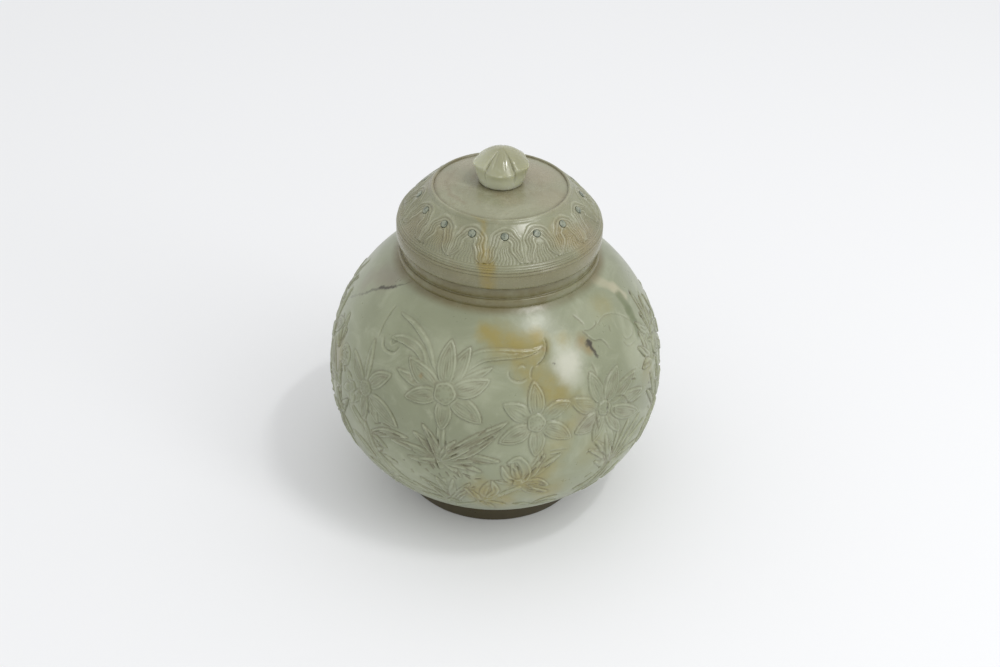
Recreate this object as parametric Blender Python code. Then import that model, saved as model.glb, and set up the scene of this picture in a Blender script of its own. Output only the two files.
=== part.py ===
"""Covered sugar pot of carved jade, at its real size in metres.

The pot stands on the XY plane with its axis on +Z: a hollow round body on a foot ring, a
domed lid that lifts straight off, a lotus bud set into the lid as its knob, and a ring of
small stone eyes let into the lid's petal band.
"""

from math import cos, pi, radians, sin, tau

import bmesh
import bpy
from mathutils import Matrix, Vector

MM = 0.001

# Least room between two pieces that touch on the real pot.
SEAT_GAP = 0.3 * MM

# Foot ring, turned in one with the pot.
FOOT_RADIUS = 28.5 * MM
FOOT_TAPER = 0.8 * MM
FOOT_HEIGHT = 7.0 * MM
FOOT_RING_WIDTH = 5.4 * MM
FOOT_RECESS = 4.4 * MM
FOOT_CHAMFER = 0.5 * MM

# Belly, from the foot up to its widest circle and on to the neck.
BELLY_RADIUS = 50.3 * MM
BELLY_LOWER_HEIGHT = 32.7 * MM
BELLY_UPPER_HEIGHT = 38.9 * MM
BELLY_SQUARENESS = 2.2
WALL = 4.6 * MM
FLOOR = 5.4 * MM
INSIDE_SQUARENESS = 2.6

# Neck, two plain bands round the mouth.
MOUTH_RADIUS = 25.0 * MM
MOUTH_ROOT_DEPTH = 2.0 * MM
MOUTH_ROUNDING = 0.8 * MM
NECK_WALL = 3.4 * MM
NECK_STEP = 0.6 * MM
NECK_FLARE = 0.7 * MM
NECK_LOWER_HEIGHT = 3.1 * MM
NECK_UPPER_HEIGHT = 3.5 * MM

# Lid, from its side band over the bead and the petal band to the ring and the top disc.
LID_OVERHANG = 1.1 * MM
LID_BAND_HEIGHT = 4.6 * MM
LID_EDGE = 0.4 * MM
LID_BEAD_INSET = 0.4 * MM
LID_BEAD_RISE = 1.4 * MM
PETAL_BAND_WIDTH = 9.4 * MM
PETAL_BAND_RISE = 9.6 * MM
PETAL_BAND_SWELL = 0.5 * MM
LID_RING_WIDTH = 0.9 * MM
LID_RING_STEP = 0.35 * MM
DISC_RISE = 1.6 * MM
DISC_CAMBER = 1.6
LID_WALL = 4.6 * MM
SOCKET_FLOOR = 3.2 * MM
FLANGE_CLEARANCE = 0.4 * MM
FLANGE_WIDTH = 3.0 * MM
FLANGE_DEPTH = 5.0 * MM

# Finial, a closed bud on a round tenon.
TENON_RADIUS = 3.0 * MM
TENON_LENGTH = 2.6 * MM
TENON_FIT = 0.3 * MM
BUD_BASE_RADIUS = 6.4 * MM
BUD_SWELL = 1.5 * MM
BUD_SIDE_HEIGHT = 6.0 * MM
BUD_TIP_HEIGHT = 4.2 * MM
BUD_EDGE = 0.3 * MM
BUD_PETALS = 6
BUD_FURROW = 0.35 * MM

# Eyes, one in each petal of the lid's band.
EYE_COUNT = 16
EYE_RADIUS = 1.0 * MM
EYE_THICKNESS = 1.0 * MM
EYE_CROWN = 0.15 * MM
EYE_FIT = 0.2 * MM
EYE_ABOVE_BEAD = 6.6 * MM
EYE_TURN = radians(3.9)

ROUND_SEGMENTS = 64
BUD_SEGMENTS = 48
EYE_SEGMENTS = 12

# Places on the pot, worked out from the sizes above; heights are above the table.
FOOT_WAIST_RADIUS = FOOT_RADIUS - FOOT_TAPER
BELLY_MIDDLE = FOOT_HEIGHT + BELLY_LOWER_HEIGHT
NECK_BOTTOM = BELLY_MIDDLE + BELLY_UPPER_HEIGHT
NECK_MIDDLE = NECK_BOTTOM + NECK_LOWER_HEIGHT
NECK_TOP = NECK_MIDDLE + NECK_UPPER_HEIGHT
NECK_UPPER_RADIUS = MOUTH_RADIUS + NECK_WALL
NECK_LOWER_RADIUS = NECK_UPPER_RADIUS + NECK_STEP
NECK_ROOT_RADIUS = NECK_LOWER_RADIUS + NECK_FLARE
LID_BASE = NECK_TOP + SEAT_GAP

# Places on the lid; heights are above its own lower face.
LID_RADIUS = NECK_UPPER_RADIUS + LID_OVERHANG
LID_BEAD_RADIUS = LID_RADIUS - LID_BEAD_INSET
LID_BEAD_HEIGHT = LID_BAND_HEIGHT + LID_BEAD_RISE
LID_RING_RADIUS = LID_BEAD_RADIUS - PETAL_BAND_WIDTH
LID_RING_HEIGHT = LID_BEAD_HEIGHT + PETAL_BAND_RISE
LID_TOP_HEIGHT = LID_RING_HEIGHT + DISC_RISE
FLANGE_RADIUS = MOUTH_RADIUS - FLANGE_CLEARANCE
LID_HOLLOW_RADIUS = FLANGE_RADIUS - FLANGE_WIDTH
BUD_SEAT = LID_TOP_HEIGHT + SEAT_GAP


def clear_scene():
    for obj in list(bpy.data.objects):
        bpy.data.objects.remove(obj, do_unlink=True)


def material(name, colour, roughness, metallic=0.0):
    """Principled material; colour is linear RGB."""
    mat = bpy.data.materials.new(name)
    mat.use_nodes = True
    shader = mat.node_tree.nodes["Principled BSDF"]
    shader.inputs["Base Color"].default_value = (*colour, 1.0)
    shader.inputs["Roughness"].default_value = roughness
    shader.inputs["Metallic"].default_value = metallic
    mat.diffuse_color = (*colour, 1.0)
    return mat


def add_object(name, mesh, mat=None, parent=None, matrix=None):
    obj = bpy.data.objects.new(name, mesh)
    bpy.context.scene.collection.objects.link(obj)
    if mat:
        mesh.materials.append(mat)
    if parent:
        obj.parent = parent
    if matrix:
        obj.matrix_local = matrix
    return obj


def smooth(mesh, sharp_angle=radians(35)):
    mesh.shade_smooth()
    mesh.set_sharp_from_angle(angle=sharp_angle)


def turned(name, profile, segments):
    """Mesh of revolution. The profile runs down the outer side and ends on the axis twice."""
    grid = bmesh.new()
    rings = []
    for radius, height in profile:
        if radius == 0.0:
            rings.append([grid.verts.new((0.0, 0.0, height))])
            continue
        ring = []
        for i in range(segments):
            angle = tau * i / segments
            ring.append(grid.verts.new((radius * cos(angle), radius * sin(angle), height)))
        rings.append(ring)
    for upper, lower in zip(rings, rings[1:]):
        skin(grid, upper, lower)
    return finished(name, grid)


def skin(grid, upper, lower):
    """Faces between two rings, either of which may be one vertex on the axis."""
    count = max(len(upper), len(lower))
    for i in range(count):
        j = (i + 1) % count
        if len(upper) == 1:
            corners = (upper[0], lower[i], lower[j])
        elif len(lower) == 1:
            corners = (upper[i], lower[0], upper[j])
        else:
            corners = (upper[i], lower[i], lower[j], upper[j])
        grid.faces.new(corners)


def finished(name, grid):
    bmesh.ops.recalc_face_normals(grid, faces=grid.faces)
    mesh = bpy.data.meshes.new(name)
    grid.to_mesh(mesh)
    grid.free()
    return mesh


def swell(radius, rise, power, share):
    """Point of a superellipse quarter: share 0 is its widest circle, 1 its pole."""
    angle = share * pi / 2
    return radius * cos(angle) ** (2 / power), rise * sin(angle) ** (2 / power)


def belly_reach(widest, height, radius):
    """Half-height of the superellipse that is widest at the belly's middle and passes a point."""
    squareness = BELLY_SQUARENESS
    return abs(height - BELLY_MIDDLE) / (1 - (radius / widest) ** squareness) ** (1 / squareness)


BELLY_RISE = belly_reach(BELLY_RADIUS, NECK_BOTTOM, NECK_ROOT_RADIUS)
BELLY_DROP = belly_reach(BELLY_RADIUS, FOOT_HEIGHT, FOOT_WAIST_RADIUS)


def belly_radius(height):
    """Outer radius of the belly at a height."""
    reach = BELLY_RISE if height > BELLY_MIDDLE else BELLY_DROP
    share = abs(height - BELLY_MIDDLE) / reach
    return BELLY_RADIUS * (1 - share**BELLY_SQUARENESS) ** (1 / BELLY_SQUARENESS)


def spaced(first, last, count):
    """Values from first to last, close together at the ends, with both ends."""
    middle = (first + last) / 2
    half = (last - first) / 2
    return [middle - half * cos(pi * i / (count - 1)) for i in range(count)]


def pot_profile():
    inside_radius = BELLY_RADIUS - WALL
    floor_height = FOOT_RECESS + FLOOR
    inside_drop = BELLY_MIDDLE - floor_height
    mouth_foot = NECK_BOTTOM - MOUTH_ROOT_DEPTH
    inside_rise = belly_reach(inside_radius, mouth_foot, MOUTH_RADIUS)
    profile = [(0.0, floor_height)]
    for i in range(7, -1, -1):
        radius, drop = swell(inside_radius, inside_drop, INSIDE_SQUARENESS, i / 8)
        profile.append((radius, BELLY_MIDDLE - drop))
    for i in range(1, 10):
        radius, rise = swell(inside_radius, inside_rise, BELLY_SQUARENESS, i / 10)
        if BELLY_MIDDLE + rise < mouth_foot - MOUTH_ROUNDING:
            profile.append((radius, BELLY_MIDDLE + rise))
    profile += [
        (MOUTH_RADIUS, mouth_foot),
        (MOUTH_RADIUS, NECK_TOP - MOUTH_ROUNDING),
        (MOUTH_RADIUS + MOUTH_ROUNDING, NECK_TOP),
        (NECK_UPPER_RADIUS - MOUTH_ROUNDING, NECK_TOP),
        (NECK_UPPER_RADIUS, NECK_TOP - MOUTH_ROUNDING),
        (NECK_UPPER_RADIUS, NECK_MIDDLE),
        (NECK_LOWER_RADIUS, NECK_MIDDLE),
        (NECK_LOWER_RADIUS, NECK_BOTTOM + MOUTH_ROUNDING),
        (NECK_ROOT_RADIUS, NECK_BOTTOM),
    ]
    for height in spaced(NECK_BOTTOM, FOOT_HEIGHT, 22)[1:-1]:
        profile.append((belly_radius(height), height))
    profile += [
        (FOOT_WAIST_RADIUS, FOOT_HEIGHT),
        (FOOT_RADIUS, FOOT_CHAMFER),
        (FOOT_RADIUS - FOOT_CHAMFER, 0.0),
        (FOOT_RADIUS - FOOT_RING_WIDTH, 0.0),
        (FOOT_RADIUS - FOOT_RING_WIDTH, FOOT_RECESS),
        (0.0, FOOT_RECESS),
    ]
    return profile


def dome_point(share):
    """Point of the lid's petal band and its outward normal: share 0 at the bead, 1 at the ring."""
    foot = Vector((LID_BEAD_RADIUS, LID_BEAD_HEIGHT))
    top = Vector((LID_RING_RADIUS, LID_RING_HEIGHT))
    run = top - foot
    outward = Vector((run.y, -run.x)).normalized()
    point = foot + run * share + outward * PETAL_BAND_SWELL * 4 * share * (1 - share)
    slope = run + outward * PETAL_BAND_SWELL * 4 * (1 - 2 * share)
    return point, Vector((slope.y, -slope.x)).normalized()


def lid_profile():
    socket_radius = TENON_RADIUS + TENON_FIT
    socket_depth = TENON_LENGTH + TENON_FIT
    ceiling = LID_TOP_HEIGHT - socket_depth - SOCKET_FLOOR
    profile = [
        (0.0, LID_TOP_HEIGHT - socket_depth),
        (socket_radius, LID_TOP_HEIGHT - socket_depth),
        (socket_radius, LID_TOP_HEIGHT),
        (BUD_BASE_RADIUS, LID_TOP_HEIGHT),
    ]
    disc_edge = LID_RING_RADIUS - LID_RING_WIDTH
    for i in range(1, 5):
        reach = i / 4
        radius = BUD_BASE_RADIUS + (disc_edge - BUD_BASE_RADIUS) * reach
        profile.append((radius, LID_TOP_HEIGHT - DISC_RISE * reach**DISC_CAMBER))
    profile += [
        (disc_edge + LID_RING_STEP / 2, LID_RING_HEIGHT + LID_RING_STEP),
        (LID_RING_RADIUS - LID_RING_STEP / 2, LID_RING_HEIGHT + LID_RING_STEP),
    ]
    for i in range(5, -1, -1):
        point, _ = dome_point(i / 5)
        profile.append((point.x, point.y))
    profile += [
        (LID_BEAD_RADIUS, LID_BAND_HEIGHT + LID_EDGE),
        (LID_RADIUS, LID_BAND_HEIGHT),
        (LID_RADIUS, LID_EDGE),
        (LID_RADIUS - LID_EDGE, 0.0),
        (FLANGE_RADIUS, 0.0),
        (FLANGE_RADIUS, LID_EDGE - FLANGE_DEPTH),
        (FLANGE_RADIUS - LID_EDGE, -FLANGE_DEPTH),
        (LID_HOLLOW_RADIUS, -FLANGE_DEPTH),
    ]
    hollow_foot = LID_BEAD_HEIGHT - LID_WALL
    for i in range(5):
        radius, rise = swell(LID_HOLLOW_RADIUS, ceiling - hollow_foot, INSIDE_SQUARENESS, i / 5)
        profile.append((radius, hollow_foot + rise))
    profile.append((0.0, ceiling))
    return profile


def bud_radius(height):
    """Radius of the closed bud at a height: widening up its sides, then closing to a tip."""
    if height <= BUD_SIDE_HEIGHT:
        return BUD_BASE_RADIUS + BUD_SWELL * sin(height / BUD_SIDE_HEIGHT * pi / 2)
    share = (height - BUD_SIDE_HEIGHT) / BUD_TIP_HEIGHT
    return (BUD_BASE_RADIUS + BUD_SWELL) * (1 - share) ** 0.62 * (1 - 0.25 * share)


def finial_mesh():
    """Tenon and bud in one skin; furrows between the petals deepen towards the shoulder."""
    grid = bmesh.new()
    rings = [
        ring_of(grid, TENON_RADIUS, -TENON_LENGTH, 0.0),
        ring_of(grid, TENON_RADIUS, 0.0, 0.0),
        ring_of(grid, BUD_BASE_RADIUS - BUD_EDGE, 0.0, 0.0),
    ]
    bud_height = BUD_SIDE_HEIGHT + BUD_TIP_HEIGHT
    heights = [BUD_EDGE] + [BUD_SIDE_HEIGHT * i / 4 for i in range(1, 5)]
    heights += [BUD_SIDE_HEIGHT + BUD_TIP_HEIGHT * share for share in (0.25, 0.5, 0.72, 0.9)]
    for height in heights:
        furrow = BUD_FURROW * sin(pi * height / bud_height)
        rings.append(ring_of(grid, bud_radius(height), height, furrow))
    rings.insert(0, [grid.verts.new((0.0, 0.0, -TENON_LENGTH))])
    rings.append([grid.verts.new((0.0, 0.0, bud_height))])
    for lower, upper in zip(rings, rings[1:]):
        skin(grid, upper, lower)
    return finished("finial", grid)


def ring_of(grid, radius, height, furrow):
    """Ring of vertices, drawn in by the furrow between neighbouring petals."""
    ring = []
    for i in range(BUD_SEGMENTS):
        angle = tau * i / BUD_SEGMENTS
        inset = furrow * (1 - abs(cos(angle * BUD_PETALS / 2)) ** 0.8)
        reach = radius - inset
        ring.append(grid.verts.new((reach * cos(angle), reach * sin(angle), height)))
    return ring


def eye_seats():
    """Placement of each eye: +Z out of the petal band, origin on its surface."""
    point, outward = dome_point(EYE_ABOVE_BEAD / PETAL_BAND_RISE)
    lean = Matrix.Rotation(outward.angle(Vector((0.0, 1.0))), 4, "Y")
    seats = []
    for i in range(EYE_COUNT):
        turn = Matrix.Rotation(EYE_TURN - pi / 2 + tau * i / EYE_COUNT, 4, "Z")
        seats.append(turn @ Matrix.Translation((point.x, 0.0, point.y)) @ lean)
    return seats


def eye_mesh():
    profile = [
        (0.0, EYE_CROWN),
        (EYE_RADIUS * 0.6, EYE_CROWN * 0.7),
        (EYE_RADIUS, 0.0),
        (EYE_RADIUS, -EYE_THICKNESS),
        (0.0, -EYE_THICKNESS),
    ]
    return turned("petal_eye", profile, EYE_SEGMENTS)


def pocket_cutter(seats, parent):
    """One cutter for all the eyes' pockets, standing proud of the band."""
    pocket_radius = EYE_RADIUS + EYE_FIT
    pocket_depth = EYE_THICKNESS + EYE_FIT
    grid = bmesh.new()
    for seat in seats:
        bmesh.ops.create_cone(
            grid,
            cap_ends=True,
            segments=EYE_SEGMENTS,
            radius1=pocket_radius,
            radius2=pocket_radius,
            depth=2 * pocket_depth,
            matrix=seat,
        )
    cutter = add_object("pocket_cutter", finished("pocket_cutter", grid), parent=parent)
    cutter.hide_render = True
    cutter.display_type = "WIRE"
    return cutter


def build():
    clear_scene()
    jade = material("jade_body", (0.30, 0.33, 0.24), 0.32)
    lid_jade = material("jade_lid", (0.29, 0.32, 0.22), 0.32)
    pale_jade = material("jade_finial", (0.35, 0.37, 0.27), 0.28)
    eye_stone = material("blue_eye_stone", (0.17, 0.26, 0.24), 0.3)

    pot = turned("pot_body", pot_profile(), ROUND_SEGMENTS)
    smooth(pot)
    add_object("pot_body", pot, jade)

    lid_at = Matrix.Translation((0.0, 0.0, LID_BASE))
    lid_mesh = turned("lid", lid_profile(), ROUND_SEGMENTS)
    smooth(lid_mesh)
    lid = add_object("lid", lid_mesh, lid_jade, matrix=lid_at)

    seats = eye_seats()
    drill = lid.modifiers.new("eye_pockets", "BOOLEAN")
    drill.operation = "DIFFERENCE"
    drill.solver = "EXACT"
    drill.object = pocket_cutter(seats, lid)

    bud = finial_mesh()
    smooth(bud)
    add_object("finial", bud, pale_jade, lid, Matrix.Translation((0.0, 0.0, BUD_SEAT)))

    stone = eye_mesh()
    smooth(stone)
    stone.materials.append(eye_stone)
    for number, seat in enumerate(seats, 1):
        add_object(f"petal_eye_{number:02d}", stone, parent=lid, matrix=seat)


build()
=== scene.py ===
"""Covered sugar pot of carved jade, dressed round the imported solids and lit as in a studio."""
from math import cos, pi, radians, sin, tau

import bpy
import numpy as np
from mathutils import Matrix, Vector


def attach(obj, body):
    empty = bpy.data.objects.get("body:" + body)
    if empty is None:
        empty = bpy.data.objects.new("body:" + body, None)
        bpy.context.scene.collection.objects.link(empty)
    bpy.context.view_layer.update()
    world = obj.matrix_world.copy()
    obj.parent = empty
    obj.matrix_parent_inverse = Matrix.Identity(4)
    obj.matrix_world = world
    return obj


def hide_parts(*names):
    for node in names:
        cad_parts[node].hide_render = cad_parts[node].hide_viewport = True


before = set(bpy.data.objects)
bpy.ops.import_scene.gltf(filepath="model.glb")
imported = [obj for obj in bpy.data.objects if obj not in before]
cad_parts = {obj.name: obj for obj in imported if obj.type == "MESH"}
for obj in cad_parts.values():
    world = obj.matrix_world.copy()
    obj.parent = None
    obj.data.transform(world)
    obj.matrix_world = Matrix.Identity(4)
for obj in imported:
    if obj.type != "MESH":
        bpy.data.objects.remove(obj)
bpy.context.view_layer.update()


# Camera: it looks down on the pot from the front, from less than an arm's length away. Its place
# and lens were fitted to the outlines of the belly, neck, lid and foot.
MM = 0.001
CAMERA_DISTANCE = 420 * MM
CAMERA_ELEVATION = radians(35.56)
CAMERA_ROLL = radians(1.95)
CAMERA_AIM = Vector((1.15, 0, 50.04)) * MM
CAMERA_LENS = 50.06
FILM_WIDTH = 36

back = Vector((0, -cos(CAMERA_ELEVATION), sin(CAMERA_ELEVATION)))
level = Vector((1, 0, 0))
upright = back.cross(level)
side = level * cos(CAMERA_ROLL) + upright * sin(CAMERA_ROLL)
rise = back.cross(side)
seat = Matrix((side, rise, back)).transposed().to_4x4()
seat.translation = CAMERA_AIM + back * CAMERA_DISTANCE
camera_data = bpy.data.cameras.new("camera")
camera_data.lens = CAMERA_LENS
camera_data.sensor_width = FILM_WIDTH
camera_data.clip_start = 10 * MM
camera = bpy.data.objects.new("camera", camera_data)
bpy.context.scene.collection.objects.link(camera)
camera.matrix_world = seat
bpy.context.scene.camera = camera
bpy.context.scene.view_settings.view_transform = "Standard"


# Pot: one block of pale green jade, turned and hollowed out, with a foot ring and a neck of two
# plain bands. Flowering plants are carved round its belly in low relief: the ground beside each
# leaf and petal is cut away, and the stone is then polished all over.
WELD_REACH = 0.02 * MM
SKIN_DEPTH = 1.4
SMOOTH_UNDER = 50


def turned(name, outline, steps, base=0):
    """A piece turned on the lathe: its outline, in mm above a base, is drawn from point to point
    and then spun round."""
    outline = [(radius * MM, (height + base) * MM) for radius, height in outline]
    bpy.ops.object.select_all(action="DESELECT")
    bpy.ops.mesh.primitive_plane_add(size=MM, location=(0, 0, 0))
    piece = bpy.context.object
    piece.name = name
    piece.data.name = name
    bpy.ops.object.mode_set(mode="EDIT")
    bpy.ops.mesh.select_all(action="SELECT")
    bpy.ops.mesh.merge(type="CENTER")
    bpy.ops.transform.translate(value=(outline[0][0], 0, outline[0][1]))
    for (radius, height), (next_radius, next_height) in zip(outline, outline[1:]):
        move = (next_radius - radius, 0, next_height - height)
        bpy.ops.mesh.extrude_region_move(TRANSFORM_OT_translate={"value": move})
    bpy.ops.object.mode_set(mode="OBJECT")
    lathe = piece.modifiers.new("lathe", "SCREW")
    lathe.axis = "Z"
    lathe.angle = tau
    lathe.steps = steps
    lathe.render_steps = steps
    lathe.use_merge_vertices = True
    lathe.merge_threshold = WELD_REACH
    bpy.ops.object.modifier_apply(modifier="lathe")
    bpy.ops.object.mode_set(mode="EDIT")
    bpy.ops.mesh.select_all(action="SELECT")
    bpy.ops.mesh.remove_doubles(threshold=WELD_REACH)
    bpy.ops.mesh.normals_make_consistent(inside=False)
    bpy.ops.object.mode_set(mode="OBJECT")
    return piece


def quarter(middle, run, rise, steps, squareness=2):
    """Quarter of a round or squarish curve about a middle, from its side to its top."""
    angles = [pi / 2 * step / steps for step in range(steps + 1)]
    return [(middle[0] + run * cos(angle) ** (2 / squareness),
             middle[1] + rise * sin(angle) ** (2 / squareness)) for angle in angles]


def measured(piece):
    """Vertices in mm, with their distance from the axis and their turn round it from the front."""
    spots = np.empty(len(piece.data.vertices) * 3)
    piece.data.vertices.foreach_get("co", spots)
    spots = spots.reshape(-1, 3) / MM
    return spots, np.hypot(spots[:, 0], spots[:, 1]), np.arctan2(spots[:, 0], -spots[:, 1])


def move_to(piece, spots):
    """Puts the vertices of a piece at places in mm."""
    piece.data.vertices.foreach_set("co", (spots * MM).ravel())
    piece.data.update()


def note(piece, name, values):
    """Stores a value for each vertex, which the piece's material reads."""
    layer = piece.data.attributes.get(name) or piece.data.attributes.new(name, "FLOAT", "POINT")
    layer.data.foreach_set("value", values)


def smoothed(piece, degrees):
    """Shades a piece smooth, apart from edges sharper than an angle."""
    bpy.context.view_layer.objects.active = piece
    piece.select_set(True)
    bpy.ops.object.shade_smooth_by_angle(angle=radians(degrees))


def worked(piece, cut, triangles):
    """Cuts a relief, takes out faces where it is plain, and cuts again so that the rest lie true."""
    cut(piece)
    count = sum(len(face.vertices) - 2 for face in piece.data.polygons)
    thin = piece.modifiers.new("thin", "DECIMATE")
    thin.ratio = min(1, triangles / count)
    bpy.context.view_layer.objects.active = piece
    bpy.ops.object.modifier_apply(modifier="thin")
    cut(piece)
    smoothed(piece, SMOOTH_UNDER)


def eased(low, high, value):
    """0 below low, 1 above high and a smooth rise between them."""
    share = np.clip((value - low) / (high - low), 0, 1)
    return share * share * (3 - 2 * share)


def hollow(offset, width):
    """Round-bottomed groove: 1 on its line, 0 well beside it."""
    return np.exp(-((offset / width) ** 2))


FOOT_RADIUS, FOOT_WAIST, FOOT_HEIGHT = 28.5, 27.7, 7
FOOT_INNER, FOOT_RECESS = 23.1, 4.4
BELLY_RADIUS, BELLY_MIDDLE, BELLY_SQUARENESS = 50.3, 39.7, 2.2
NECK_ROOT, NECK_LOWER, NECK_UPPER = 29.7, 29, 28.4
NECK_BOTTOM, NECK_MIDDLE, NECK_TOP = 78.6, 81.7, 85.2
MOUTH_RADIUS, LIP = 25, 0.8
INSIDE_RADIUS, INSIDE_FLOOR, INSIDE_SQUARENESS = 45.7, 9.8, 2.6
ROWS, COLUMNS = 320, 1180
POT_TRIANGLES = 196000


def half_height(height, radius, widest=BELLY_RADIUS):
    """Height of the rounded belly, from its middle, that passes a point."""
    share = (radius / widest) ** BELLY_SQUARENESS
    return abs(height - BELLY_MIDDLE) / (1 - share) ** (1 / BELLY_SQUARENESS)


BELLY_RISE = half_height(NECK_BOTTOM, NECK_ROOT)
BELLY_DROP = half_height(FOOT_HEIGHT, FOOT_WAIST)


def belly(height):
    """Radius of the plain belly at a height, in mm."""
    height = np.asarray(height, float)
    share = np.where(height > BELLY_MIDDLE, (height - BELLY_MIDDLE) / BELLY_RISE,
                     (BELLY_MIDDLE - height) / BELLY_DROP)
    return BELLY_RADIUS * (1 - np.abs(share) ** BELLY_SQUARENESS) ** (1 / BELLY_SQUARENESS)


belly_heights = np.linspace(FOOT_HEIGHT, NECK_BOTTOM, 2001)
belly_steps = np.hypot(np.diff(belly_heights), np.diff(belly(belly_heights)))
belly_lengths = np.concatenate(([0], np.cumsum(belly_steps)))


def way_up(height):
    """Distance from the foot up the outside of the belly, in mm."""
    return np.interp(height, belly_heights, belly_lengths)


GROUND = 0.32
GROUND_STARTS, GROUND_ENDS = (13, 19), (69, 75.5)
DEEP_SIDE, DEEP_SPREAD = 94, 20
CUT = 0.52
CUT_REACH = 2.1
EDGE = 0.22
ROUNDED = 0.1
LINE_WIDTH = 0.23
LINE_DEPTH = 0.27
RIM_IN = 0.68
BLUNTNESS = 0.7
USUAL_DIRT = 0.7


class Carving:
    """Depth below the turned surface, at points of the belly given in degrees and mm. It also
    notes where dirt has stayed in the cut lines, with painted shade added along the foot of each
    raised edge, and where the crests are painted pale as highlights."""

    def __init__(self, azimuth, height):
        self.turn = 0
        self.bold = 1
        self.usual = 1
        self.dirt = USUAL_DIRT
        self.azimuth = azimuth
        self.radius = belly(height)
        self.up = way_up(height)
        low = eased(*way_up(GROUND_STARTS), self.up)
        high = 1 - eased(*way_up(GROUND_ENDS), self.up)
        self.depth = GROUND * low * high * (1 + hollow(np.abs(azimuth) - DEEP_SIDE, DEEP_SPREAD))
        self.dark = np.zeros(len(azimuth))
        self.light = np.zeros(len(azimuth))

    def curve(self, points):
        """Smooth line through places (degrees, mm height), flat round its own middle."""
        places = np.array(points)
        middle, height = places.mean(0)
        base = way_up(height)
        flat = np.column_stack((np.radians(places[:, 0] - middle) * belly(places[:, 1]),
                                way_up(places[:, 1]) - base))
        if len(flat) == 2:
            flat = np.insert(flat, 1, flat.mean(0), 0)
        knots = np.vstack((2 * flat[0] - flat[1], flat, 2 * flat[-1] - flat[-2]))
        line = []
        for p, q, r, s in zip(knots, knots[1:], knots[2:], knots[3:]):
            for t in np.linspace(0, 1, 9)[:-1]:
                line.append(0.5 * (2 * q + (r - p) * t + (2 * p - 5 * q + 4 * r - s) * t ** 2
                                   + (3 * q - p - 3 * r + s) * t ** 3))
        line.append(flat[-1])
        return middle, base, np.array(line)

    def near(self, middle, base, low, high):
        """Numbers and flat places of the points inside a box round a middle."""
        away = (self.azimuth - middle - self.turn + 180) % 360 - 180
        across = np.radians(away) * self.radius
        up = self.up - base
        inside = (across > low[0]) & (across < high[0]) & (up > low[1]) & (up < high[1])
        found = np.flatnonzero(inside & (np.abs(away) < 90))
        return found, across[found], up[found]

    def beside(self, points, margin):
        """Points near a curve: their numbers, share of the way along, and distance to its side."""
        middle, base, line = self.curve(points)
        found, across, up = self.near(middle, base, line.min(0) - margin, line.max(0) + margin)
        share = np.zeros(len(found))
        aside = np.full(len(found), 1e9)
        lengths = np.hypot(*np.diff(line, axis=0).T)
        total = lengths.sum()
        gone = 0
        for start, end, length in zip(line, line[1:], lengths):
            along = (end - start) / length
            reach = (across - start[0]) * along[0] + (up - start[1]) * along[1]
            held = np.clip(reach, 0, length)
            gap = np.hypot(across - start[0] - along[0] * held, up - start[1] - along[1] * held)
            left = (up - start[1]) * along[0] - (across - start[0]) * along[1] > 0
            nearer = gap < np.abs(aside) - 1e-9
            aside = np.where(nearer, np.where(left, gap, -gap), aside)
            share = np.where(nearer, np.minimum((gone + held) / total, 1), share)
            gone += length
        return found, share, aside

    def lay(self, found, inside, top, lines, shine=0):
        """A raised form over what is there: inside is the distance in from its outline, lines how
        strongly a cut line runs at each point, and shine how strongly a painted highlight runs
        along a lip."""
        ground = CUT * self.bold * (1 - eased(0, CUT_REACH, -inside))
        under = np.maximum(self.depth[found], ground)
        blend = eased(-EDGE, 0.04, inside)
        self.depth[found] = under + (top - under) * blend
        # Dark line along the foot of the edge: dirt, with painted shade in the corner.
        foot = 0.5 * self.bold * hollow(inside + EDGE, 0.17)
        # Pale line just inside the edge: a painted highlight on the crest.
        crest = hollow(inside - 0.14, 0.16)
        covered = inside > -EDGE / 2
        self.dark[found] = np.where(covered, lines * self.dirt * self.bold,
                                    np.maximum(self.dark[found], foot * (0.5 + self.dirt)))
        self.light[found] = np.where(covered, np.minimum(crest + shine, 1), self.light[found])

    def leaf(self, points, width, veins, fullness=0.8):
        """Leaf or petal along a line: nested rim lines inside its edge, veins from its root."""
        found, share, aside = self.beside(points, width / 2 + CUT_REACH)
        half = width / 2 * np.maximum(np.sin(pi * share ** fullness), 0) ** BLUNTNESS
        inside = half - np.abs(aside)
        hand = points[-1][0] * 1.7 + points[-1][1] * 2.3
        broken = 0.62 + 0.38 * np.sin(share * 13 + hand + 2 * aside)
        lines = np.zeros(len(found))
        shine = np.zeros(len(found))
        rim = RIM_IN
        while rim < width / 2 - 0.5:
            lines += (1.05 - 0.25 * rim) * hollow(inside - rim, LINE_WIDTH)
            # Painted highlight beside each rim line.
            shine += 0.8 * hollow(inside - rim - 0.33, 0.18)
            rim += RIM_IN
        fade = eased(0.02, 0.14, share) * (1 - eased(0.6, 0.86, share)) * eased(0.1, 0.4, inside)
        for vein in range(veins):
            offset = (vein - (veins - 1) / 2) * 0.8
            lines += fade * hollow(aside - offset * (1 - 0.5 * share), LINE_WIDTH)
        lines = np.minimum(lines, 1)
        sunk = 0.28 * (self.bold - 1) * (1 + sin(hand * 2))
        top = sunk + ROUNDED * (1 - eased(0, 0.45, inside)) + LINE_DEPTH * lines
        self.lay(found, inside, top, lines * broken, shine * broken)

    def stem(self, points, width):
        """Stalk along a line, with a cut down its middle where it is broad."""
        found, share, aside = self.beside(points, width / 2 + CUT_REACH)
        inside = width / 2 - np.abs(aside)
        lines = 0.7 * hollow(aside, LINE_WIDTH) if width > 1.1 else np.zeros(len(found))
        top = 0.04 + ROUNDED * (1 - eased(0, 0.4, inside)) + LINE_DEPTH * lines
        self.lay(found, inside, top, lines)

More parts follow.
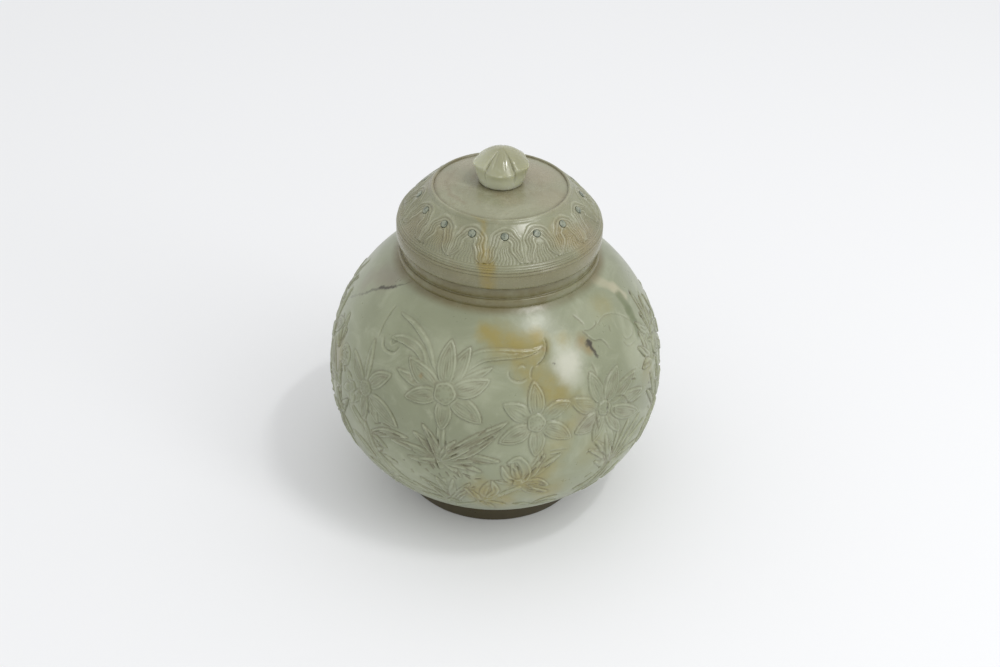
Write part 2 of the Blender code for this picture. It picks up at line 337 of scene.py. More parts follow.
    def groove(self, points, depth, dirt, width=0.24):
        """Line scratched into what is there, fading at both ends, with a raised lip that carries a
        painted highlight.
        """
        found, share, aside = self.beside(points, 1.6)
        fade = eased(0, 0.15, share) * eased(1, 0.8, share)
        cut = fade * hollow(aside, width)
        lip = fade * hollow(aside - width - 0.22, 0.2)
        self.depth[found] = np.maximum(self.depth[found] + depth * cut - 0.4 * depth * lip, 0)
        self.dark[found] = np.maximum(self.dark[found], dirt * cut)
        # Painted highlight on the lip.
        self.light[found] = np.maximum(self.light[found], 0.9 * lip)

    def grooves(self, *rows):
        """Several lines: each row is a depth, its dirt, and the places on the line."""
        for depth, dirt, *points in rows:
            self.groove(points, depth, dirt)

    def ticks(self, *cuts):
        """Short dark cuts, each (azimuth, height, run in degrees, rise in mm)."""
        for azimuth, height, run, rise in cuts:
            self.groove(((azimuth, height), (azimuth + run, height + rise)), 0.34, 1, 0.26)

    def spray(self, root, leaves):
        """Leaves from one root: each is (tip azimuth, tip height, bow to its left in mm, width)."""
        self.dirt = 0.95
        for *tip, bow, width in leaves:
            across = radians(tip[0] - root[0]) * BELLY_RADIUS
            up = tip[1] - root[1]
            length = max(np.hypot(across, up), 1)
            sideways = -np.degrees(bow * up / length / BELLY_RADIUS)
            middle = ((root[0] + tip[0]) / 2 + sideways, (root[1] + tip[1]) / 2 + bow * across / length)
            self.leaf((root, middle, tip), width, 2 if width > 2.9 else 1)
            for start, end, aside in ((root, middle, 0.3 * width), (middle, tip, -0.2 * width)):
                slip = np.degrees(aside * up / length / BELLY_RADIUS)
                drop = aside * across / length
                self.groove([(start[0] + (end[0] - start[0]) * share - slip,
                              start[1] + (end[1] - start[1]) * share + drop)
                             for share in (0.2, 0.85)], 0.3, 1, 0.22)
        self.dirt = USUAL_DIRT

    def boss(self, azimuth, height, radius, rings=1):
        """Heart of a flower: a raised cushion in a ring of short cuts."""
        reach = radius + CUT_REACH
        found, across, up = self.near(azimuth, way_up(height), (-reach, -reach), (reach, reach))
        angle = np.arctan2(up, across)
        inside = radius + 0.12 * np.sin(angle * 5 + azimuth) - np.hypot(across, up)
        lines = (0.55 + 0.35 * np.sin(angle * 9)) * hollow(inside - 0.6, 0.24)
        lines += 0.3 * hollow(inside - 1.3, 0.3) * (1 + np.sin(angle * 7 + 1))
        if rings > 1:
            lines += 0.6 * hollow(inside - 1.4, LINE_WIDTH) + 0.6 * hollow(inside - 2.3, LINE_WIDTH)
        top = ROUNDED * (1 - eased(0, 0.4, inside)) + LINE_DEPTH * lines
        self.lay(found, inside, top, np.minimum(lines, 1))

    def flower(self, azimuth, height, radius, petals):
        """Flower with a boss; petals are (tip azimuth, tip height, width, veins, bow in mm)."""
        self.dirt = 0.8
        for *tip, width, veins, bow in petals:
            run, up = tip[0] - azimuth, tip[1] - height
            start = (azimuth + run * 0.16, height + up * 0.16)
            side = run * cos(radians(run))
            length = max(np.hypot(side, up), 1)
            middle = ((start[0] + tip[0]) / 2 - bow * up / length,
                      (start[1] + tip[1]) / 2 + bow * side / length)
            self.leaf((start, middle, tip), width, veins)
        self.boss(azimuth, height, radius)


def star_plant(plant):
    """The tall plant with the big star flower, its long arching leaf and its root leaves."""
    plant.dirt = 0.5
    plant.leaf(((-15, 64.6), (-11.4, 67.6), (-5.6, 70.2), (2, 70.9), (9, 70.8),
                (15, 71), (19.6, 71.8)), 3.2, 0, 0.7)
    plant.grooves(
        (0.45, 0.6, (15.2, 67.6), (18.6, 68.9), (20.7, 70.4), (21.6, 72.2), (21, 73.8)),
        (0.3, 0.6, (13.4, 65.2), (13.9, 67), (15.2, 68)),
        (0.26, 0.3, (12.2, 65.6), (8.8, 64.9), (5.6, 66), (5.8, 67.8)),
        (0.2, 0.3, (12.2, 68), (10.4, 68.6), (8.2, 68)))
    plant.leaf(((-47, 73.6), (-37.5, 73), (-28.5, 70.6), (-22, 65.5)), 1.4, 0, 1.1)
    plant.leaf(((-44.5, 68.4), (-38, 69.4), (-30, 68.4), (-24.5, 63.6)), 2.5, 1)
    plant.groove(((-50.5, 66), (-51.8, 70.6), (-51.5, 75)), 0.34, 0.3)
    plant.groove(((-39.1, 67.9), (-41.2, 65.5), (-46.1, 65.5), (-48.6, 68.2)), 0.42, 0.35, 0.3)
    plant.groove(((-41, 68.6), (-43, 67.2), (-44.2, 68)), 0.3, 0.3)
    plant.stem(((-16.4, 38.5), (-16.6, 45), (-17, 53)), 2)
    plant.stem(((-15.6, 33), (-14.6, 28), (-13.4, 22), (-12.8, 17)), 0.8)
    plant.spray((-16.4, 40.2), (
        (-34.8, 41.6, -1, 2.3), (-28.2, 38.2, 0.5, 1.9), (-26.4, 47.4, -0.9, 2.7), (-23.2, 50.6, -0.7, 2.5),
        (-11.8, 47.8, 0.5, 2), (-9.8, 35.6, 0.6, 1.6), (-3.2, 38.2, 0.7, 2.3), (2.6, 42.2, 1.4, 3.1),
        (2.2, 51.6, -0.8, 2.7), (4.8, 54.6, 0.9, 3.1)))
    plant.ticks(
        (-20.6, 44.4, 2, -3.8), (-18.6, 40.6, 1.8, -4), (-21.8, 46.8, 2.4, -3.8), (-24.8, 46.4, 2.6, -2.8),
        (-22.6, 49.4, 1.8, -2.6), (-20.4, 38.8, 2.2, -2), (-20, 34.2, 2, -0.8), (-26.6, 41.6, 1.4, -1.8),
        (-14.6, 43.4, 2.6, 2), (-13.6, 42.2, 3, 1.6), (-12.6, 44.6, 2, 2), (-11.4, 41.4, 3.8, 1),
        (-9.6, 39.8, 3.6, 0.2), (-6.2, 41.6, 3.4, -0.6), (-11, 37.6, 0.8, -2.8), (-14.8, 36.6, 1.2, -2),
        (-8.6, 36.2, 2.2, -1.2), (-7.6, 45.6, 3.2, 2.2), (-4.8, 50.2, 3, 2.2), (-2.4, 48.8, 3.2, 1.6),
        (-17.6, 47.6, 0.2, -3.4), (-15, 47.4, -0.2, -3.4))
    plant.leaf(((-47, 42), (-43.6, 34.6), (-35.4, 27.6)), 2.3, 2)
    plant.leaf(((-41, 33.6), (-33, 28), (-24.6, 25.4)), 2.2, 2)
    plant.leaf(((-34, 26.4), (-26, 24.4), (-17.6, 24.6)), 2, 1)
    plant.ticks(
        (-18.5, 39.5, 1.7, -2.5), (-22, 35.8, 1.6, -1.2), (-20.4, 38, 1.6, -1.8), (-24.6, 37.4, 1.2, -1.4),
        (-17.4, 35.2, 1.2, -1.6), (-12.4, 35.6, 1.4, -1.6), (-9.4, 36.8, 2.8, -0.6), (-5.4, 35.2, 2.4, 0.4),
        (-27.4, 33.6, 1.2, -1.6))
    plant.spray((-12.6, 22.6), (
        (-24, 31, -0.8, 2.2), (-18.4, 33.4, -0.5, 2.1), (-12.4, 34, 0.4, 2), (-7, 33, 0.6, 2),
        (-27.6, 27.4, 0.6, 2.1)))
    plant.spray((-13.4, 20.4), (
        (-25.6, 22.6, -0.6, 2.2), (-21, 28.6, -0.9, 2.2), (-9.4, 28.6, 0.9, 1.9), (-5.4, 31.6, 0.8, 1.5)))
    plant.boss(-13.4, 22, 1.6)
    plant.stem(((-12.5, 19.6), (-4.5, 23.3), (3.2, 28.5), (9.4, 32)), 1.1)
    plant.spray((-3.6, 24), ((-8.6, 30.8, -0.8, 2), (5.5, 22.4, 0.4, 2), (1.5, 19.6, 0.3, 1.8)))
    plant.leaf(((-1.8, 27), (-2.2, 30.4), (-0.2, 34.8)), 2, 1)
    plant.leaf(((-1.2, 27), (1.6, 30.4), (0.2, 35)), 1.9, 1)
    plant.flower(-17, 60.6, 3, (
        (-1, 68, 2.4, 1, 0.4), (-10.2, 71.8, 4.4, 2, 0.3), (-36.6, 62.6, 3, 1, 0.2),
        (-33.4, 66.4, 5.2, 1, 0.3), (-31, 56.8, 4.7, 2, -0.2), (-16.6, 50.6, 4.6, 2, 0.1),
        (-3.8, 54.2, 5.3, 2, 0.5), (-1.6, 65.2, 5, 2, -0.3), (-18.6, 72.6, 5, 2, 0.3)))


def poppy_plant(plant):
    """The lower plant with the six-petalled flower, set between the star and the fan."""
    plant.stem(((9.7, 31), (11.9, 37.3), (15.6, 43), (14.6, 47)), 1.4)
    plant.spray((9.7, 32.8), (
        (22.8, 42.8, 0.5, 2), (17.2, 43.4, -0.5, 1.9), (19.2, 31.2, 1.4, 3), (19.6, 28, -0.8, 2.6),
        (1.2, 34.6, -0.6, 1.8), (4.4, 28.4, -0.4, 1.9), (6.6, 42, 0.4, 1.9)))
    plant.leaf(((10.2, 33.4), (11.4, 38), (8.8, 42.6), (5, 41.6)), 2.4, 1)
    plant.leaf(((9.2, 33.2), (5, 36.2), (3.2, 40.6)), 1.8, 1)
    plant.grooves(
        (0.25, 0.3, (18.4, 44.2), (22.2, 43.9), (25.2, 43.6)), (0.2, 0.5, (18.6, 43), (22.6, 42.6)))
    plant.boss(8.8, 34, 1.3)
    plant.ticks(
        (10.8, 35, 1.6, 2.8), (12.8, 37.2, 1.8, 2.6), (15.4, 41, 1, 2), (17, 38.6, 2.4, 1.6),
        (4.8, 41, 1.2, -1.2), (6.6, 40, 1, -1.8), (8.2, 40.4, 0.8, -2), (12, 32.6, 3.6, 0.2),
        (11.6, 30.8, 3.8, -1), (5.8, 35.8, 1.8, -1.4), (3, 48.4, 2.8, 2.4), (20.2, 55.4, -0.4, -2.6))
    plant.spray((15, 20.4), ((24, 24, 0.6, 2.2), (8, 22.4, -0.5, 2), (25.5, 19.6, 0.5, 2)))
    plant.flower(14.4, 53.8, 2.5, (
        (26.8, 58, 4.2, 2, 0.6), (3.4, 59.4, 4.9, 1, -0.3), (2.2, 48.6, 5, 2, 0.2),
        (13.9, 43.4, 4.4, 1, 0.3), (26, 47.4, 4.9, 2, 0.4), (14.2, 64.6, 4.6, 1, -0.4)))


def fan_plant(plant):
    """The plant with a fan of long leaves under a spreading many-petalled flower."""
    plant.dirt = 0.4
    plant.grooves(
        (0.2, 0.35, (46, 71.6), (54, 72.8), (62, 71), (68, 66.6)),
        (0.22, 0.6, (39.6, 72.6), (43, 72), (47.6, 72.4), (48.2, 73.4)),
        (0.2, 0.6, (38.4, 76), (40.6, 74.4), (41.6, 73.2)),
        (0.3, 0.6, (38.8, 73), (42.4, 69.8), (46.6, 68.8), (49, 65.4)),
        (0.2, 0.6, (54, 70.8), (52.6, 69.2)), (0.2, 0.3, (57.6, 67.4), (59, 65.4), (64, 65), (66.4, 66.6)),
        (0.2, 0.3, (56.4, 66), (58.6, 63.6), (64.6, 63.2)),
        (0.18, 0.5, (38, 65.4), (38.6, 62.4), (37.4, 60)))
    plant.stem(((44.2, 29), (43, 38), (41, 47)), 1.6)
    plant.spray((44.3, 30.8), (
        (36, 35.2, 0.6, 1.8), (33, 40.8, -0.9, 2.2), (35, 43.6, -0.6, 2.2), (39.8, 43.8, 0.3, 2.1),
        (46.4, 44, 0.2, 2.1), (51.4, 44.4, 0.4, 2.3), (57.4, 42.6, 0.7, 2.4), (61.6, 38.6, 0.8, 2.3),
        (59, 31.6, 0.6, 2.2), (36.6, 25.4, 0.8, 2.2), (30.4, 24.6, 1.8, 3.2), (33.6, 20.4, 1.2, 2.4)))
    plant.spray((45.6, 21.6), ((38.4, 18.6, 0.4, 2), (50.6, 27.6, 0.4, 2.1), (55, 21, -0.4, 2.2)))
    plant.flower(39.6, 52.6, 2.1, (
        (59.8, 50.2, 3.6, 2, 0.2), (26.8, 58.4, 4.6, 2, 0.5), (27.6, 48.2, 4.9, 2, 0.5),
        (34.6, 43.4, 3.4, 1, 0), (45.8, 42.4, 3.6, 2, 0), (56.4, 44.4, 4.4, 2, -0.4),
        (57.4, 57, 3.8, 2, 0.3), (36.4, 63.4, 4.4, 1, 0.3), (49, 61.6, 4.8, 2, 0.4)))
    plant.groove(((43.4, 54.2), (48.6, 53), (52, 49), (60, 48)), 0.25, 0.9)
    plant.ticks(
        (41.4, 54.6, -0.4, -2.6), (40.8, 51.4, -0.6, -2), (43.8, 51.4, -0.2, -1.8), (32, 39.8, 2.6, 0.6),
        (35.6, 42, 2, -2.6), (38.6, 38, 1.8, -2.6), (43.6, 37.8, 0.2, -3.2), (47.6, 38.4, -1, -3.2),
        (33, 29.4, 3.2, 1.4), (34.8, 26.8, 3.4, 1.8), (38.4, 31.2, 3.4, -0.2), (54, 55.8, 3, -1.2))
    plant.groove(((36.4, 53.8), (36, 51), (36.4, 46.4)), 0.25, 0.8)
    plant.bold = 1.5
    plant.stem(((72, 24), (72.5, 36), (75, 47), (80, 56)), 1.3)
    plant.spray((72, 37), (
        (64, 47, -0.7, 2.3), (68, 51, -0.6, 2.1), (78, 48, 0.6, 2.2), (81, 41, 0.8, 2.3),
        (62, 34, -0.8, 2.2), (58, 29, -0.6, 2.4), (64.5, 26, 0.6, 2.2), (79, 29.6, -0.5, 2.3)))
    plant.spray((80, 56), (
        (73.4, 59, -0.6, 2.2), (76.6, 66, -0.5, 2.4), (80.6, 70.6, 0.3, 2.4), (86, 67.4, 0.6, 2.4),
        (89, 61, 0.6, 2.3), (87.4, 53, -0.5, 2.2), (73, 53, 0.5, 2.2)))
    plant.boss(80, 58.4, 2.1)
    plant.leaf(((75.6, 62), (72.6, 62.6), (69.6, 66)), 2, 1)
    for cut in range(17):
        azimuth = (65 if cut < 10 else 75) + 13 * (cut * 0.618 % 1)
        plant.ticks((azimuth, 27 + 2.4 * cut, 3 * sin(cut * 2.4), 2.6))
    plant.bold = plant.usual


def lily_plant(plant):
    """The plant with a narrow upright petal, a small rosette beside it and a leafy stalk."""
    plant.stem(((-47.6, 45), (-46.8, 38), (-44, 30), (-38, 24), (-31, 20.6)), 1.5)
    plant.spray((-45, 38), ((-28.4, 44.6, 1.6, 2.7), (-36.6, 37.2, 0.8, 2.2), (-58.6, 44.4, -0.8, 2.2)))
    plant.ticks(
        (-42.4, 43.6, 3.4, 1.8), (-38.6, 45.6, 3.8, -0.2), (-40.4, 41.6, 4.2, 1), (-34.2, 44, 3.8, 0),
        (-43.8, 41, 0.8, -3.6), (-41, 38.6, 1.4, -3.2), (-38, 34.8, 1.6, -2.6), (-44.6, 34, 0.6, -3.4),
        (-34.8, 28.6, 3.4, -1.2), (-47.6, 47.6, 1, -3.2), (-50.6, 62.4, 0.6, -3), (-44.6, 57.6, 2.6, 1.6))
    plant.spray((-43.4, 30), (
        (-43.4, 37.4, -0.6, 2), (-38.8, 36.4, 0.6, 2), (-32.8, 33.4, 0.9, 2.5), (-54.6, 34.4, -0.7, 2.3)))
    plant.spray((-38.6, 24.6), (
        (-35.4, 31, 0.4, 2), (-27, 26.4, 0.8, 2.3), (-48, 27.4, -0.6, 2.1), (-40, 18.6, 0.3, 2)))
    plant.bold = 1.5
    plant.stem(((-64, 25), (-63, 34), (-65, 44), (-66.5, 51)), 1.2)
    plant.spray((-64, 35), (
        (-58, 43.6, 0.5, 2.2), (-70, 45.6, -0.5, 2.3), (-56.4, 31.6, 0.6, 2), (-72, 35, -0.5, 2.2),
        (-57, 25.6, -0.5, 2.1), (-69, 24.6, 0.5, 2.2)))
    plant.spray((-72.4, 54), (
        (-70.6, 60.6, 0.4, 1.9), (-74.6, 63.6, -0.3, 2.2), (-79, 61, -0.5, 2.3), (-80, 55, -0.4, 2.2)))
    for cut in range(11):
        azimuth = -60 - 9 * (cut * 0.618 % 1)
        plant.ticks((azimuth, 25 + 2.6 * cut, 3 * sin(cut * 2.4), 2.8))
    plant.bold = plant.usual
    plant.flower(-48.4, 52.6, 2.2, (
        (-55.8, 44, 2.6, 1, 0), (-41, 44.4, 3, 1, 0.4), (-51.8, 65.6, 2.2, 1, -0.4),
        (-59.4, 59.4, 3.8, 2, 0.4), (-47.8, 42.2, 3.4, 2, 0.2), (-32.6, 46.6, 4.2, 2, 0.7),
        (-38.6, 60.4, 4.2, 2, 0.6)))
    plant.flower(-55.4, 49.8, 1.4, (
        (-60.6, 52.6, 2, 0, 0), (-60.8, 46.6, 2.2, 0, 0), (-54.4, 44.8, 2, 0, 0)))
    plant.boss(-64.5, 55.4, 3, 2)


def carve(piece):
    """Cuts the whole relief into the belly's skin: four plants twice round, a lily in each gap."""
    spots, out, turn = measured(piece)
    height = spots[:, 2]
    outside = (height > FOOT_HEIGHT + 0.05) & (height < NECK_BOTTOM - 0.05)
    outside &= out > belly(np.clip(height, FOOT_HEIGHT, NECK_BOTTOM)) - SKIN_DEPTH
    carving = Carving(np.degrees(turn[outside]), height[outside])
    for carving.turn in (0, 180):
        lily_plant(carving)
        fan_plant(carving)
        poppy_plant(carving)
        star_plant(carving)
    carving.bold = carving.usual = 1.6
    for carving.turn in (143, -37):
        lily_plant(carving)
    spots[outside, :2] *= ((belly(height[outside]) - carving.depth) / out[outside])[:, None]
    move_to(piece, spots)
    for name, values in (("dark", carving.dark), ("light", carving.light)):
        everywhere = np.zeros(len(spots))
        everywhere[outside] = values
        note(piece, name, everywhere)


outline = [(0, INSIDE_FLOOR)]
outline += quarter((0, BELLY_MIDDLE), INSIDE_RADIUS, INSIDE_FLOOR - BELLY_MIDDLE, 14,
                   INSIDE_SQUARENESS)[13::-1]
inside_rise = half_height(NECK_BOTTOM - 2, MOUTH_RADIUS, INSIDE_RADIUS)
roof = quarter((0, BELLY_MIDDLE), INSIDE_RADIUS, inside_rise, 15, BELLY_SQUARENESS)[1:14]
outline += [point for point in roof if point[1] < NECK_BOTTOM - 3]
outline += [(MOUTH_RADIUS, NECK_BOTTOM - 2), (MOUTH_RADIUS, NECK_TOP - LIP)]
outline += quarter((MOUTH_RADIUS + LIP, NECK_TOP - LIP), -LIP, LIP, 3)[1:]
outline += quarter((NECK_UPPER - LIP, NECK_TOP - LIP), LIP, LIP, 3)[::-1]
outline += [
    (NECK_UPPER, NECK_MIDDLE + 0.45), (NECK_UPPER - 0.12, NECK_MIDDLE + 0.2),
    (NECK_UPPER, NECK_MIDDLE), (NECK_LOWER - 0.25, NECK_MIDDLE), (NECK_LOWER, NECK_MIDDLE - 0.25),
    (NECK_LOWER, NECK_BOTTOM + 1), (NECK_LOWER - 0.12, NECK_BOTTOM + 0.55),
    (NECK_ROOT - 0.35, NECK_BOTTOM + 0.3), (NECK_ROOT, NECK_BOTTOM)]
skin = np.interp(np.linspace(belly_lengths[-1], 0, ROWS), belly_lengths, belly_heights)
outline += [(belly(height), height) for height in skin[1:-1]]
outline += [
    (FOOT_WAIST, FOOT_HEIGHT), (FOOT_WAIST + 0.1, FOOT_HEIGHT - 0.8),
    (FOOT_RADIUS, 0.5), (FOOT_RADIUS - 0.15, 0.15), (FOOT_RADIUS - 0.5, 0),
    (FOOT_INNER + 0.3, 0), (FOOT_INNER, 0.3), (FOOT_INNER, FOOT_RECESS), (0, FOOT_RECESS)]
pot = turned("jade_pot", outline, COLUMNS)
worked(pot, carve, POT_TRIANGLES)


class Wire:
    """A value in a material's nodes; sums on it add Math nodes, and node() adds other kinds."""

    def __init__(self, tree, socket=None):
        self.tree = tree
        self.socket = socket

    def node(self, kind, inputs=None, output=0, **settings):
        made = self.tree.nodes.new("ShaderNode" + kind)
        for name, value in settings.items():
            setattr(made, name, value)
        for name, value in (inputs or {}).items():
            if isinstance(value, Wire):
                self.tree.links.new(value.socket, made.inputs[name])
            else:
                made.inputs[name].default_value = value
        return Wire(self.tree, made.outputs[output])

    def math(self, operation, *values):
        return self.node("Math", dict(enumerate(values)), operation=operation)

    def vector(self, operation, other, output=0):
        inputs = {0: self, "Scale" if operation == "SCALE" else 1: other}
        return self.node("VectorMath", inputs, output, operation=operation)

    def __add__(self, other):
        return self.math("ADD", self, other)

    __radd__ = __add__

    def __sub__(self, other):
        return self.math("SUBTRACT", self, other)

    def __rsub__(self, other):
        return self.math("SUBTRACT", other, self)

    def __mul__(self, other):
        return self.math("MULTIPLY", self, other)

    __rmul__ = __mul__

    def between(self, low, high):
        """0 at low, 1 at high, smooth between them; low may be the greater."""
        span = {"Value": self, "From Min": low, "From Max": high}
        return self.node("MapRange", span, interpolation_type="SMOOTHSTEP")

    def tint(self, first, second):
        """first where this value is 0, second where it is 1; either is a colour."""
        inputs = {0: self}
        for place, colour in ((6, first), (7, second)):
            inputs[place] = colour if isinstance(colour, Wire) else (*colour, 1)
        return self.node("Mix", inputs, 2, data_type="RGBA")

    def part(self, letter):
        """One coordinate of a place."""
        return self.node("SeparateXYZ", {"Vector": self}, letter)

    def feeds(self, shader, name):
        self.tree.links.new(self.socket, shader.inputs[name])


def noise(where, scale, detail=3, roughness=0.5, distortion=0, output=0):
    inputs = {"Vector": where, "Scale": scale, "Detail": detail, "Roughness": roughness,
              "Distortion": distortion}
    return where.node("TexNoise", inputs, output)


def bent(where, scale, amount):
    """Places pushed about a little, so that what is laid on them gets a ragged outline."""
    push = noise(where, scale, 4, 0.65, output="Color").vector("SUBTRACT", (0.5, 0.5, 0.5))
    return where.vector("ADD", push.vector("SCALE", amount))


def near_spot(where, spot, reach, core=0.25):
    """1 at a place on the piece, falling to 0 at a distance from it."""
    return where.vector("DISTANCE", spot, "Value").between(reach, reach * core)


def near_line(where, start, end, reach, core=0.25):
    """1 on the line between two places, falling to 0 at a distance from it."""
    run = end - start
    away = where.vector("SUBTRACT", start)
    along = away.vector("DOT_PRODUCT", run / run.length_squared, "Value")
    along = along.node("Clamp", {"Value": along})
    line = along.node("VectorMath", {0: run, "Scale": along}, operation="SCALE")
    return away.vector("DISTANCE", line, "Value").between(reach, reach * core)


def on_stone(azimuth, height, radius=None):
    """Place in metres on the belly, or at a radius of its own."""
    turn = radians(azimuth)
    radius = belly(height) if radius is None else radius
    return Vector((radius * sin(turn), -radius * cos(turn), height)) * MM


def tinted_spots(colour, where, stone, spots, core=0.25, worn=None):
    """Soft spots of one colour: mostly stains, and in a few places painted light. Each spot is
    its place, its reach in mm and its strength.
    """
    for *place, reach, strength in spots:
        amount = near_spot(where, on_stone(*place), reach * MM, core) * strength
        if worn:
            amount = amount * worn
        colour = amount.tint(colour, stone)
    return colour


def veined(colour, where, stone, places, reaches, strengths, core=0.25):
    """A stain along a line of places; each stretch has its reach in mm and its strength."""
    for start, end, reach, strength in zip(places, places[1:], reaches, strengths):
        amount = near_line(where, on_stone(*start), on_stone(*end), reach * MM, core) * strength
        colour = amount.tint(colour, stone)
    return colour


JADE = (0.272, 0.294, 0.19)
JADE_PALE = (0.35, 0.37, 0.258)
JADE_DEEP = (0.212, 0.23, 0.14)
PALE_STONE_AND_HIGHLIGHT = (0.48, 0.48, 0.385)
AMBER = (0.262, 0.214, 0.05)
RUST = (0.235, 0.168, 0.055)
BROWN = (0.12, 0.096, 0.042)
OLIVE = (0.112, 0.136, 0.052)
CREAM = (0.39, 0.37, 0.25)
GREY_BROWN = (0.235, 0.215, 0.155)
INK = (0.03, 0.023, 0.01)
NECK_BROWN = (0.132, 0.108, 0.036)
FOOT_BROWN_SHADE = (0.041, 0.028, 0.004)
POT_DULLNESS, LID_DULLNESS, BUD_DULLNESS = 0.2, 0.17, 0.07


def dial(node, values):
    """Sets inputs of a node by their names."""
    for name, value in values.items():
        node.inputs[name].default_value = value


def new_material(name):
    """A material and its shader."""
    material = bpy.data.materials.new(name)
    material.use_nodes = True
    return material, material.node_tree.nodes["Principled BSDF"]


def jade(piece, name, pale, plain, deep, dullness):
    """Polished jade: clouded colour, with a soft polish that is a little rippled and uneven."""
    material, shader = new_material(name)
    piece.data.materials.clear()
    piece.data.materials.append(material)
    where = Wire(material.node_tree).node("TexCoord", output="Object")
    cloud = noise(where, 24, 4, 0.55, 0.6)
    wisp = noise(where, 85, 5, 0.62, 1.4)
    mottle = noise(where, 420, 4, 0.7)
    colour = cloud.between(0.38, 0.66).tint(deep, plain)
    colour = (wisp.between(0.46, 0.76) * 0.62).tint(colour, pale)
    colour = (mottle.between(0.56, 0.8) * 0.3).tint(colour, pale)
    colour = (mottle.between(0.42, 0.22) * 0.4).tint(colour, deep)
    grain = noise(where, 1100, 3, 0.6)
    ripple = noise(where, 170, 3, 0.5)
    (dullness + 0.12 * wisp + 0.08 * grain).feeds(shader, "Roughness")
    bump = {"Height": ripple * 0.7 + grain * 0.14, "Distance": 0.25 * MM, "Strength": 0.35}
    where.node("Bump", bump, "Normal").feeds(shader, "Normal")
    dial(shader, {"IOR": 1.62, "Subsurface Weight": 0.12, "Subsurface Radius": (1, 1, 0.7),
                  "Subsurface Scale": 2.5 * MM})
    return shader, where, colour


def lined(where, colour, pale, dirt, strength):
    """Old dirt in the cut lines, and painted highlights that make the crests pale."""
    dark = where.node("Attribute", output="Fac", attribute_name="dark")
    light = where.node("Attribute", output="Fac", attribute_name="light")
    worn = noise(where, 130, 3, 0.6).between(0.36, 0.62)
    glint = noise(where, 330, 2, 0.5).between(0.4, 0.6)
    # Painted highlight on the crests, broken into glints.
    colour = (light * (glint * 0.55 + 0.15)).tint(colour, pale)
    return (dark * (worn * 0.65 + 0.4) * strength).tint(colour, dirt)


shader, where, colour = jade(pot, "pot_jade", JADE_PALE, JADE, JADE_DEEP, POT_DULLNESS)
height = where.part("Z")
wide = bent(where, 75, 10 * MM)
close = bent(where, 420, 2.2 * MM)
wavy = bent(where, 200, 3 * MM)
patchy = noise(where, 170, 4, 0.65).between(0.33, 0.6)
colour = tinted_spots(colour, wide, JADE_DEEP, ((-20, 76.5, 11, 0.75), (-44, 76, 10, 0.6)))
# A pale patch of stone where the soft box reflects, painted paler still: partly a painted highlight.
colour = tinted_spots(colour, wide, PALE_STONE_AND_HIGHLIGHT, ((29, 66.5, 7.5, 0.8),))
# Paler stone in patches; the two low on the left, at -30 and -48 degrees, are painted light that brightens
# the lower left.
colour = tinted_spots(colour, wide, JADE_PALE, (
    (-22, 71, 7, 0.4), (-7, 65, 8, 0.75), (31, 62.5, 5, 0.4), (27, 71, 5, 0.4), (47, 75, 8, 0.35),
    (62, 62, 9, 0.5), (-30, 30, 13, 0.35), (-48, 36, 11, 0.35), (-83, 52, 12, 0.4), (150, 62, 14, 0.7),
    (-130, 45, 13, 0.5)))
colour = tinted_spots(colour, wide, AMBER, (
    (2, 73.6, 8, 0.85), (-4, 74.5, 5, 0.85), (8.5, 72.5, 6, 0.85), (18.5, 73, 5, 0.95), (13, 69, 8.5, 0.75),
    (17.5, 62.5, 8, 0.75), (23, 60.5, 6.5, 0.65), (30, 56, 7, 0.5), (28.5, 72, 3.5, 0.5), (56, 75, 6, 0.35),
    (11, 34, 9, 0.8), (19, 28, 9, 0.6), (2, 24.5, 9, 0.75), (-4, 30, 7.5, 0.75), (-70, 55, 7, 0.4),
    (66, 53, 6, 0.35), (34, 40, 8, 0.3), (160, 66, 12, 0.6), (172, 55, 9, 0.5), (215, 38, 12, 0.5),
    (98, 36, 9, 0.4), (24, 51, 5.5, 0.5), (21, 45, 6, 0.4), (18, 38, 7, 0.5)), 0.1, patchy * 0.45 + 0.6)
colour = tinted_spots(colour, wide, GREY_BROWN, (
    (-74, 76, 8, 0.7), (-80, 71, 6, 0.5), (-66, 78, 5, 0.6), (32, 51, 6, 0.4), (-72, 50, 6, 0.35),
    (200, 74, 10, 0.6)))
cream_vein = ((66.5, 78.6), (71.8, 75.3), (74.8, 72.2))
olive_vein = ((71.6, 73.2), (70.6, 70.1), (69.4, 67.1), (67.2, 64))
crack = ((-84, 64.5), (-76, 69.5), (-68, 74), (-61, 76.5), (-55, 78.8))
inclusion = ((40, 70.2), (41.4, 66.4))
colour = veined(colour, wavy, CREAM, cream_vein, (2.6, 2.6), (0.7, 0.7))
colour = veined(colour, wavy, OLIVE, olive_vein, (2.3, 2.3, 2.3), (0.75, 0.75, 0.75))
colour = veined(colour, close, INK, crack, (0.6, 0.7, 0.9, 0.5), (0.4, 0.55, 0.9, 0.6), 0.1)
colour = tinted_spots(colour, close, RUST, (
    (37.2, 70.8, 3.6, 0.75), (39.2, 68.6, 2.6, 0.75), (-27, 63.4, 1.2, 0.75), (20.5, 71.5, 1.4, 0.75)), 0)
colour = veined(colour, close, INK, inclusion, (0.85,), (0.95,), 0.1)
colour = tinted_spots(colour, close, INK, ((39.8, 69.8, 1.5, 0.9),))
